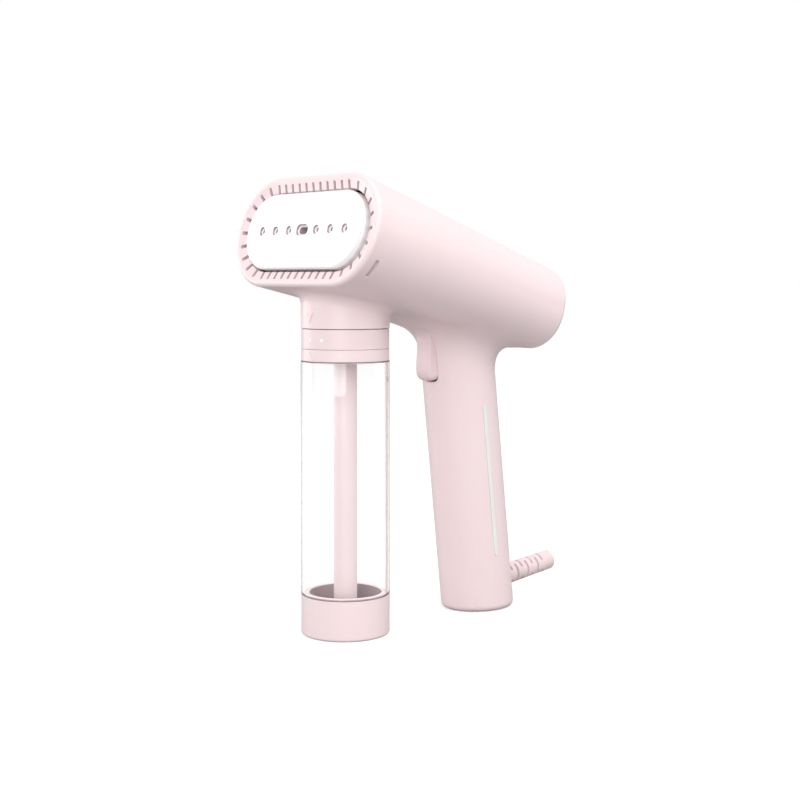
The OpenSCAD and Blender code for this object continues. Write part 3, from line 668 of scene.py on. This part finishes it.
def raised_mark(name, z, point, r):
    """Triangle on the front of a round wall, pointing up or down by the sign of point."""
    rings = []
    for grow, lift in ((0, -0.4), (0, MARK_PROUD - 0.12), (-0.05, MARK_PROUD - 0.04), (-0.14, MARK_PROUD)):
        ring = []
        corners = [(0, point * (MARK_H + 2 * grow)),
                   (-MARK_HALF - grow, -point * grow), (MARK_HALF + grow, -point * grow)]
        for i in range(3):
            a, b = np.array(corners[i], float), np.array(corners[(i + 1) % 3], float)
            for t in np.linspace(0, 1, 9)[:-1]:
                x, h = a + (b - a) * t
                turn, out = x / r, r + lift
                ring.append((out * math.sin(turn), TANK_Y - out * math.cos(turn), z + h))
        rings.append(np.array(ring))
    v, f = loop_mesh(rings, closed_path=False, caps=True)
    ob = make(name, v, f)
    outward_normals(ob)
    smooth(ob, 50)
    return ob


def paint_recess_faces(ob, slot, picks, place=FACE):
    """Give another material to the faces that picks accepts by centre and normal in a place's frame; here
    it paints shade onto recess walls.
    """
    ob.data.materials.append(mats[slot])
    index = len(ob.data.materials) - 1
    for poly in ob.data.polygons:
        c = inward(place, np.array([poly.center]) / MM)[0]
        n = np.array(poly.normal) @ place[1]
        if picks(c, n):
            poly.material_index = index


# ---- Casing ----

def foot_outline(inset):
    return np.array([[(GRIP_RX - inset) * math.cos(a), (GRIP_RY - inset) * math.sin(a)]
                     for a in np.linspace(0, 2 * math.pi, 97)[:-1]])


shell = casing_mesh("casing")
cutters = []
gap_half, gap_low, gap_top = TRIGGER_HALF + TRIGGER_GAP, TRIGGER_LOW - 1.05, TRIGGER_TOP + 0.07
opening = rounded([(-gap_half, gap_low, 3.6), (gap_half, gap_low, 3.6),
                   (gap_half, gap_top), (-gap_half, gap_top)])
cutters.append(prism("c", opening, -50, TRIGGER_BACK - 2.5, GRIP, (0, 2, 1)))
strip_shape = stadium_outline(STRIP_LEN + 0.2, 2 * STRIP_HALF + 0.3)
for side in (-1, 1):
    strip = np.stack([strip_shape[:, 1] + STRIP_Y - 0.12,
                      strip_shape[:, 0] + STRIP_LOW + STRIP_LEN / 2], 1)
    cutters.append(prism("c", strip, side * 17.9, side * 24, GRIP, (1, 2, 0)))
    a0, a1 = (-51, -30) if side > 0 else (210, 231)
    cutters.append(wedge("c", FACE_R - 1.6, FACE_R + 3, a0, a1, *CATCH, FACE, (side * FACE_C, 0)))
neck_low = [(0, RING_TOP - 8), (NECK_R + 4, RING_TOP - 8), (NECK_R + 4, RING_TOP), (0, RING_TOP)]
cutters.append(lathe("c", neck_low))
hole_r = RELIEF_R + 0.12
relief_frame = (outward(GRIP, np.array([0, 0, RELIEF_Z])), GRIP[1])
cutters.append(lathe("c", [(0, 14), (hole_r, 14), (hole_r, 26), (0, 26)], relief_frame, 64, "y"))
foot_frame = (GRIP[0], np.eye(3))
cutters.append(prism("c", foot_outline(FOOT_INSET), -2, 1.2, foot_frame))
for c in cutters:
    cut(shell, c)
analytic_normals(shell, [(-1, casing_inner), (1, casing_outer)])
finish_piece(shell, "casing", "housing", "casing_left", "casing_right")


def in_catch(c, n):
    """A wall or the floor of a catch slot, painted a darker pink as shade."""
    if not (CATCH[0] - 0.1 < c[2] < CATCH[1] + 0.1 and c[1] < -10):
        return False
    on_floor = math.hypot(abs(c[0]) - FACE_C, c[1]) < FACE_R - 1.0
    outside = math.hypot(max(abs(c[0]) - FACE_C, 0), c[1]) > FACE_R - 1.7
    return outside and (abs(n[2]) > 0.99 or on_floor)


paint_recess_faces(shell, "slot_painted_shade", in_catch)
neck_mark = raised_mark("neck_mark", RING_TOP + 3 + MARK_H, -1, NECK_R)
finish_piece(neck_mark, "casing", "housing")

foot_in = foot_outline(FOOT_INSET + FOOT_GAP)
foot_rings = []
for inset, z in ((0, 1.15), (0, 0.5), (0.1, 0.3), (0.35, 0.2)):
    k = np.array([1 - inset / GRIP_RX, 1 - inset / GRIP_RY])
    foot_rings.append(np.concatenate([foot_in * k, np.full((len(foot_in), 1), z)], 1))
v, f = loop_mesh(foot_rings, closed_path=False, caps=True)
foot = make("grip_foot_plate", v, f, foot_frame)
outward_normals(foot)
smooth(foot)
finish_piece(foot, "casing", "housing", "grip_foot")

# ---- Bezel and soleplate ----

def stadium_sweep(name, profile, n=48):
    """Closed (radius, height) profile swept round the face's stadium."""
    prof = np.asarray(profile, float)
    rings = []
    for side in (1, -1):
        for a in np.linspace(-math.pi / 2, math.pi / 2, n):
            cs, sn = side * math.cos(a), side * math.sin(a)
            rings.append(np.stack([side * FACE_C + prof[:, 0] * cs, prof[:, 0] * sn, prof[:, 1]], 1))
        for t in np.linspace(0, 1, 14)[1:-1]:
            x = side * FACE_C * (1 - 2 * t)
            rings.append(np.stack([np.full(len(prof), x), prof[:, 0] * side, prof[:, 1]], 1))
    v, f = loop_mesh(rings)
    ob = make(name, v, f, FACE)
    outward_normals(ob)
    return ob


def rim_height(u):
    """Front surface at distance u inward from the head's outline: rim arc, then the slope."""
    steep = math.hypot(RIM_SLOPE, 1)
    if u < RIM_R + RIM_R * RIM_SLOPE / steep:
        zc = RIM_FRONT - (RIM_SLOPE + steep) * RIM_R
        return zc + math.sqrt(max(RIM_R ** 2 - (u - RIM_R) ** 2, 0))
    return RIM_FRONT - RIM_SLOPE * u


top = [(FACE_R - u, rim_height(u)) for u in (2.42, 2.55, 2.7, 2.85, 3.0, 3.5, 5, 6.5, 7.6)]
inner_edge = [(FACE_R - 7.9, rim_height(7.9) - 0.02), (FACE_R - 8.1, rim_height(8.1) - 0.1),
              (FACE_R - 8.2, rim_height(8.2) - 0.35)]
behind = [(21.4, -5.8), (22.5, -5.8), (22.5, -2.9), (25.7, -1.6),
          (25.2, -8.0), (26.37, -8.0), (27.18, -1.5)]
bezel = stadium_sweep("bezel", top + inner_edge + behind)


def slot_block(x, y, angle):
    """Cutter of one slot, running out from a point on the face at an angle."""
    o = rounded([(SLOT_IN, -SLOT_HALF), (SLOT_OUT, -SLOT_HALF, 0.6),
                 (SLOT_OUT, SLOT_HALF, 0.6), (SLOT_IN, SLOT_HALF)], 3)
    c, s = math.cos(angle), math.sin(angle)
    o = np.stack([x + o[:, 0] * c - o[:, 1] * s, y + o[:, 0] * s + o[:, 1] * c], 1)
    return prism("s", o, SLOT_FLOOR, 3, FACE)


slots = []
for side in (-1, 1):
    for i in range(11):
        slots.append(slot_block((i / 10 - 0.5) * 2 * FACE_C, 0, side * math.pi / 2))
    first = (0 if side > 0 else math.pi) - math.pi / 2
    for i in range(1, 10):
        slots.append(slot_block(side * FACE_C, 0, first + math.pi * i / 10))
cut(bezel, joined("slots", slots))
smooth(bezel, 30)
finish_piece(bezel, "bezel", "housing", "bezel_ring")


def in_slot(c, n):
    """A side wall of a bezel slot, painted a darker pink as shade."""
    r = math.hypot(max(abs(c[0]) - FACE_C, 0), c[1])
    return abs(n[2]) < 0.3 and 21.6 < r < 25.85 and c[2] < rim_height(FACE_R - r) - 0.3


paint_recess_faces(bezel, "slot_painted_shade", in_slot)
# A sheet under the bezel slots, in the painted-shade pink-grey, stands for the shade down in them.
shade_sheet = stadium_sweep("slot_shade_sheet", [(22.7, -3.2), (25.0, -2.35), (25.0, -3.6), (22.7, -4.4)])
smooth(shade_sheet)
finish_piece(shade_sheet, "dark_plastic", "housing")
# The sheet keeps the dark plastic slot but is painted in the hole shade colour.
shade_sheet.data.materials[0] = mats["hole_painted_shade"]


edge = rounded([(PLATE_R, -5.0), (PLATE_R, 0.25, 0.5), (PLATE_R - 0.75, PLATE_FRONT - 0.1, 0.15),
                (PLATE_R - 0.9, PLATE_FRONT - 0.5), (PLATE_R - 1.3, PLATE_FRONT - 0.5),
                (PLATE_R - 1.3, PLATE_FRONT, 0.1), (PLATE_R - 6, PLATE_FRONT)], 4)


def plate_ring(r, z, n=40):
    pts = []
    for side in (1, -1):
        for a in np.linspace(-math.pi / 2, math.pi / 2, n):
            pts.append((side * (PLATE_C + r * math.cos(a)), side * r * math.sin(a), z))
    return np.array(pts)


# The edge's last point only sets how the one before it is rounded.
v, f = loop_mesh([plate_ring(r, z) for r, z in edge[:-1]], closed_path=False, caps=True)
plate = make("soleplate_skin", v, f, FACE)
outward_normals(plate)
vents = []
for i in range(-3, 4):
    half, wide, bore = (2.0, 3.0, 1.7) if i == 0 else (0.0, 2.4, 1.0)
    rings = []
    funnel = ((bore, -6), (bore, -0.1), (bore + 0.15, 0.15), (wide - 0.75, 0.42), (wide - 0.45, 0.6),
              (wide - 0.12, PLATE_FRONT - 0.12), (wide + 0.12, PLATE_FRONT + 0.12), (wide + 0.12, 3))
    for r, z in funnel:
        ring = []
        for side in (1, -1):
            for a in np.linspace(-math.pi / 2, math.pi / 2, 18)[:(18 if half else 17)]:
                x = i * VENT_PITCH + side * (half + r * math.cos(a))
                ring.append((x, side * r * math.sin(a), z))
        rings.append(np.array(ring))
    v, f = loop_mesh(rings, closed_path=False, caps=True)
    vent = make("v", v, f, FACE)
    outward_normals(vent)
    vents.append(vent)
cut(plate, joined("vents", vents))
smooth(plate, 28)
finish_piece(plate, "ceramic", "housing", "soleplate")


def in_vent(c, n):
    """The sloping wall of a vent: bare metal, its darker tone partly painted shade."""
    return abs(c[1]) < 3.2 and abs(c[0]) < 40 and 0.45 < c[2] < PLATE_FRONT - 0.05 and n[2] < 0.85


def in_bore(c, n):
    """The bore at a vent's bottom, painted darker as shade."""
    return abs(c[1]) < 3.2 and abs(c[0]) < 40 and c[2] < 0.16 and n[2] < 0.9


paint_recess_faces(plate, "vent_wall_painted_shade", in_vent)
paint_recess_faces(plate, "hole_painted_shade", in_bore)

# ---- Locking ring, collar and tank ----

ring_profile = rounded([
    (COLLAR_R, COLLAR_TOP + 0.08, 0.25), (COLLAR_R, RING_TOP - 0.42, 0.35), (19.9, RING_TOP - 0.42, 0.3),
    (19.9, 155.4), (21.3, 155.4), (21.3, COLLAR_TOP + 0.08, 0.3)], 4)
lock_ring = lathe("locking_ring", ring_profile)
smooth(lock_ring)
finish_piece(lock_ring, "ring_plastic", "lock_ring", "lock_ring")

dots = []
for turn in (0, RING_TURN):
    a = math.radians(-90 + turn)
    axis = np.array([math.cos(a), math.sin(a), 0])
    across = np.array([-math.sin(a), math.cos(a), 0])
    centre = np.array([0, TANK_Y, DOT_Z]) + axis * COLLAR_R
    rings = []
    for r, h in ((DOT_R, -0.6), (DOT_R, 0.0), (DOT_R - 0.08, 0.05), (DOT_R - 0.5, 0.08)):
        ring = []
        for t in np.linspace(0, 2 * math.pi, 33)[:-1]:
            u, w = r * math.cos(t), r * math.sin(t)
            sag = COLLAR_R - math.sqrt(COLLAR_R ** 2 - u * u)
            ring.append(centre + across * u + np.array([0, 0, w]) + axis * (h - sag))
        rings.append(np.array(ring))
    v, f = loop_mesh(rings, closed_path=False, caps=True)
    dot = make("dot", v, f)
    outward_normals(dot)
    dots.append(dot)
dots = joined("lock_marks", dots)
smooth(dots)
finish_piece(dots, "dot_white", "lock_ring", "lock_dots")

collar_profile = rounded([
    (COLLAR_R, 143.9, 0.3), (COLLAR_R, COLLAR_TOP - 0.05, 0.25), (17.2, COLLAR_TOP - 0.05),
    (17.2, 154.4), (16.1, 154.4), (16.1, 156.2), (17.2, 156.2), (17.2, 157.8, 0.4), (14.8, 157.8, 0.4),
    (14.8, 142.9, 0.3), (21.4, 142.9, 0.3), (21.4, 143.9)], 4)
collar = lathe("tank_collar_skin", collar_profile)
smooth(collar)
finish_piece(collar, "casing", "tank", "tank_collar")
collar_mark = raised_mark("collar_mark", COLLAR_TOP - 1.2 - MARK_H, 1, COLLAR_R)
finish_piece(collar_mark, "casing", "tank")

tube_profile = rounded([(TUBE_R, TUBE_LOW, 0.25), (TUBE_R, TUBE_TOP, 0.25), (TUBE_IN, TUBE_TOP, 0.2),
                        (TUBE_IN, TUBE_LOW, 0.2)], 4)
tube = lathe("clear_tube", tube_profile, segments=192)
smooth(tube)
finish_piece(tube, "clear", "tank", "tank_tube")

base_profile = rounded([
    (0.01, 0.25), (20.2, 0.25, 0.4), (20.5, 0, 0.2), (BASE_R, 0, BASE_ROUND), (BASE_R, BASE_H, 0.3),
    (21.4, BASE_H), (21.4, 22.0, 0.3), (CUP_R, 22.0, 0.4), (CUP_R, 5.0, 1.0), (0.01, 5.0)], 8)
base = lathe("tank_base_skin", base_profile)
smooth(base)
finish_piece(base, "casing", "tank", "tank_base")


# The cup's inside is painted dark pink-grey as shade.
def in_cup(c, n):
    return math.hypot(c[0], c[1]) < CUP_R + 0.02 and 4.9 < c[2] < 21.8


paint_recess_faces(base, "cup_painted_shade", in_cup, TANK)

pipe_profile = rounded([(PIPE_R, 5.0), (PIPE_R, PIPE_TOP, 0.3),
                        (PIPE_BORE, PIPE_TOP, 0.3), (PIPE_BORE, 5.0)], 4)
pipe = lathe("suction_pipe_skin", pipe_profile, segments=96)
for turn in (45, 135):
    c, s = math.cos(math.radians(turn)), math.sin(math.radians(turn))
    o = rounded([(-12, -1.5), (12, -1.5), (12, 1.5), (-12, 1.5)])
    o = np.stack([o[:, 0] * c - o[:, 1] * s, o[:, 0] * s + o[:, 1] * c], 1)
    cut(pipe, prism("p", o, 4, 9, TANK))
smooth(pipe)
finish_piece(pipe, "casing", "tank", "suction_pipe")

# ---- Light strips ----

strips = []
for side in (-1, 1):
    rings = []
    ends = np.linspace(0.15, 1, 6) * STRIP_HALF
    for z in np.concatenate([[0], ends, np.linspace(1.5, STRIP_LEN - 1.5, 60),
                             STRIP_LEN - ends[::-1], [STRIP_LEN]]):
        into = max(STRIP_HALF - min(z, STRIP_LEN - z), 0)
        half = math.sqrt(max(STRIP_HALF ** 2 - into ** 2, 0.0004))
        ring = []
        for t in np.linspace(-1, 1, 9):
            y = STRIP_Y + t * half
            x = GRIP_RX * math.sqrt(1 - (y / GRIP_RY) ** 2) + 0.03 * (1 - t * t)
            ring.append((side * x, y, STRIP_LOW + z))
        for t in (1, -1):
            ring.append((side * 18.0, STRIP_Y + t * half, STRIP_LOW + z))
        rings.append(np.array(ring))
    v, f = loop_mesh(rings, closed_path=False, caps=True)
    strip = make("strip", v, f, GRIP)
    outward_normals(strip)
    strips.append(strip)
strips = joined("light_guides", strips)
smooth(strips)
finish_piece(strips, "light_strip", "housing", "light_strips")

# ---- Strain relief ----

relief_profile = rounded([
    (3.3, 14.4), (7.4, 14.4), (7.4, 17.0), (5.98, 17.0), (RELIEF_R, GRIP_RY),
    (RELIEF_END_R, GRIP_RY + RELIEF_LEN, 0.8), (3.3, GRIP_RY + RELIEF_LEN, 0.4)], 5)
relief = lathe("strain_relief_sleeve", relief_profile, relief_frame, 96, "y")


def relief_wedge(y0, a0, a1):
    """Cutter of one notch, between two angles round the relief's axis."""
    y1 = y0 + NOTCH_WIDE
    rings = []
    for a in np.radians(np.linspace(a0, a1, 28)):
        rings.append(np.array([(r * math.cos(a), y, r * math.sin(a))
                               for r, y in ((4.3, y0), (7.5, y0), (7.5, y1), (4.3, y1))]))
    v, f = loop_mesh(rings, closed_path=False, caps=True)
    ob = make("w", v, f, relief_frame)
    outward_normals(ob)
    return ob


for i in range(7):
    for start in ((29, 209) if i % 2 == 0 else (-61, 119)):
        cut(relief, relief_wedge(GRIP_RY + NOTCH_FIRST + NOTCH_PITCH * i, start, start + 122))
smooth(relief, 40)
finish_piece(relief, "relief_rubber", "housing", "strain_relief")

# ---- Trigger ----

# Its front as (y, z) points, y from a line 4.9 in front of the grip and z from TRIGGER_LOW.
front = -GRIP_RY - 4.9
line = [(3.6, 0), (1.7, 0.3), (0.6, 1.1), (-0.3, 2.5), (-0.8, 4.6), (-0.7, 7.2), (-0.2, 10.5), (0.6, 14),
        (1.2, 17), (1.3, 18.8), (1.2, 20.2), (0.6, 23.2), (0.4, TRIGGER_TOP - TRIGGER_LOW)]
line_y, line_z = np.array(line).T
levels = TRIGGER_LOW + np.concatenate([[0, 0.12, 0.3, 0.6, 1.0, 1.5, 2.0],
                                       np.linspace(2.4, TRIGGER_TOP - TRIGGER_LOW, 46)])


def casing_front(x, z):
    """Where the casing's front surface lies at points of the grip's own frame."""
    low, high = np.full(len(x), -60.0), np.full(len(x), TRIGGER_BACK)
    for _ in range(30):
        mid = (low + high) / 2
        out = casing_outer(outward(GRIP, np.stack([x, mid, z], 1))) > 0
        low, high = np.where(out, mid, low), np.where(out, high, mid)
    return low


corner = [TRIGGER_HALF - TRIGGER_EDGE + TRIGGER_EDGE * math.cos(t) for t in np.linspace(0, math.pi / 2, 8)]
across = np.concatenate([corner, np.linspace(corner[-1], -corner[-1], 9)[1:-1], [-x for x in corner[::-1]]])
over = np.maximum(np.abs(across) - TRIGGER_HALF + TRIGGER_EDGE, 0)
sink = TRIGGER_EDGE - np.sqrt(np.maximum(TRIGGER_EDGE ** 2 - over ** 2, 0))
rings = []
for z in levels:
    # Towards its top the front runs into the casing's own surface.
    k = np.clip((z - BLEND_START) / BLEND_LEN, 0, 1)
    k = k * k * (3 - 2 * k)
    into = max(TRIGGER_LOW + TRIGGER_BOTTOM_R - z, 0)
    lost = TRIGGER_BOTTOM_R - math.sqrt(max(TRIGGER_BOTTOM_R ** 2 - into ** 2, 0))
    narrow = 1 - lost / TRIGGER_HALF
    y = front + np.interp(z - TRIGGER_LOW, line_z, line_y) + sink
    y = (1 - k) * y + k * casing_front(across, np.full(len(across), z))
    ring = [(x * narrow, yy, z) for x, yy in zip(across, y)]
    ring += [(side * TRIGGER_HALF * narrow, TRIGGER_BACK, z) for side in (-1, 1)]
    rings.append(np.array(ring))
v, f = loop_mesh(rings, closed_path=False, caps=True)
lever = make("trigger_lever", v, f, GRIP)
outward_normals(lever)
smooth(lever, 62)
finish_piece(lever, "trigger_plastic", "trigger", "trigger")

# ---- Stage, light and camera ----

FLOOR_GLOW, FLOOR_BOUNCE = 0.32, 0.355
SKY = ((0.0, 1.02), (0.9, 0.72))


def seen(tree):
    """1 for rays that show a surface directly or through clear plastic, 0 for rays that only light."""
    path = tree.nodes.new("ShaderNodeLightPath")
    either = tree.nodes.new("ShaderNodeMath")
    either.operation = "MAXIMUM"
    tree.links.new(path.outputs["Is Camera Ray"], either.inputs[0])
    tree.links.new(path.outputs["Is Transmission Ray"], either.inputs[1])
    return either


def floor_disc():
    """Pale floor: seen directly it glows to white, and as a light source it is duller."""
    rings = []
    for r in np.concatenate([[0.02], np.linspace(0.2, 6, 24)]):
        rings.append(np.array([(r * math.cos(a), r * math.sin(a), 0)
                               for a in np.linspace(0, 2 * math.pi, 97)[:-1]]))
    v, f = loop_mesh(rings, closed_path=False)
    f.append(tuple(range(96)))
    ob = make("floor", np.array(v) / MM, f)
    ob.location.z = -0.00005
    m = Nodes("floor_paint")
    cloud = m.noise(6, 3)
    col = m.ramp(cloud, "Fac", [(0.3, (0.89, 0.888, 0.888)), (0.7, (0.91, 0.908, 0.908))])
    m.link(col, "Color", m.bsdf, "Base Color")
    m.link(m.range(cloud, "Fac", 0.6, 0.7), "Result", m.bsdf, "Roughness")
    m.bsdf.inputs["Specular IOR Level"].default_value = 0.1
    m.bsdf.inputs["Emission Color"].default_value = (1, 0.995, 0.995, 1)
    m.bsdf.inputs["Emission Strength"].default_value = FLOOR_GLOW
    dull = m.add("ShaderNodeBsdfDiffuse")
    dull.inputs["Color"].default_value = (FLOOR_BOUNCE,) * 3 + (1,)
    mix = m.add("ShaderNodeMixShader")
    m.link(seen(m.tree), 0, mix, "Fac")
    m.tree.links.new(dull.outputs["BSDF"], mix.inputs[1])
    m.tree.links.new(m.bsdf.outputs["BSDF"], mix.inputs[2])
    m.link(mix, "Shader", m.out, "Surface")
    ob.data.materials.append(m.mat)


floor_disc()

world = bpy.data.worlds.new("studio")
bpy.context.scene.world = world
world.use_nodes = True
wt = world.node_tree
wt.nodes.clear()
wo = wt.nodes.new("ShaderNodeOutputWorld")
coord = wt.nodes.new("ShaderNodeTexCoord")
split = wt.nodes.new("ShaderNodeSeparateXYZ")
ramp = wt.nodes.new("ShaderNodeValToRGB")
wt.links.new(coord.outputs["Generated"], split.inputs[0])
wt.links.new(split.outputs["Z"], ramp.inputs["Fac"])
for element, (place, level) in zip(ramp.color_ramp.elements, SKY):
    element.position, element.color = place, (level, level * 0.995, level * 0.995, 1)
lit, shown = (wt.nodes.new("ShaderNodeBackground") for _ in range(2))
both = wt.nodes.new("ShaderNodeMixShader")
wt.links.new(ramp.outputs["Color"], lit.inputs["Color"])
shown.inputs["Color"].default_value = (1, 1, 1, 1)
wt.links.new(seen(wt).outputs[0], both.inputs[0])
wt.links.new(lit.outputs["Background"], both.inputs[1])
wt.links.new(shown.outputs["Background"], both.inputs[2])
wt.links.new(both.outputs["Shader"], wo.inputs["Surface"])


def area(name, place, aim, size, power):
    """Soft light at a place, turned to an aim, both in metres."""
    light = bpy.data.lights.new(name, "AREA")
    light.shape = "RECTANGLE"
    light.size, light.size_y = size
    light.energy = power
    ob = bpy.data.objects.new(name, light)
    bpy.context.collection.objects.link(ob)
    ob.location = place
    ob.rotation_mode = "QUATERNION"
    ob.rotation_quaternion = (Vector(aim) - Vector(place)).to_track_quat("-Z", "Y")


area("high_light", (0.8, 0.35, 1.15), (0, 0, 0.12), (1.0, 1.0), 6)
area("front_light", (0.75, -1.05, 0.45), (0, 0, 0.1), (0.8, 0.9), 5.8)
area("left_light", (-1.4, -0.65, 0.2), (0, 0, 0.12), (0.9, 1.2), 8.3)

cam_data = bpy.data.cameras.new("camera")
cam = bpy.data.objects.new("camera", cam_data)
bpy.context.collection.objects.link(cam)
bpy.context.scene.camera = cam
cam.location = (0.5879, TANK_Y * MM - 0.4667, 0.1869)
cam.rotation_mode = "QUATERNION"
cam.rotation_quaternion = Vector((-0.7574, 0.6530, -0.02928)).to_track_quat("-Z", "Y")
cam_data.lens, cam_data.sensor_width = 64.18, 36
cam_data.shift_x, cam_data.shift_y = -0.0038, -0.0998
cam_data.clip_start, cam_data.clip_end = 0.01, 50

bpy.context.scene.view_settings.view_transform = "Standard"
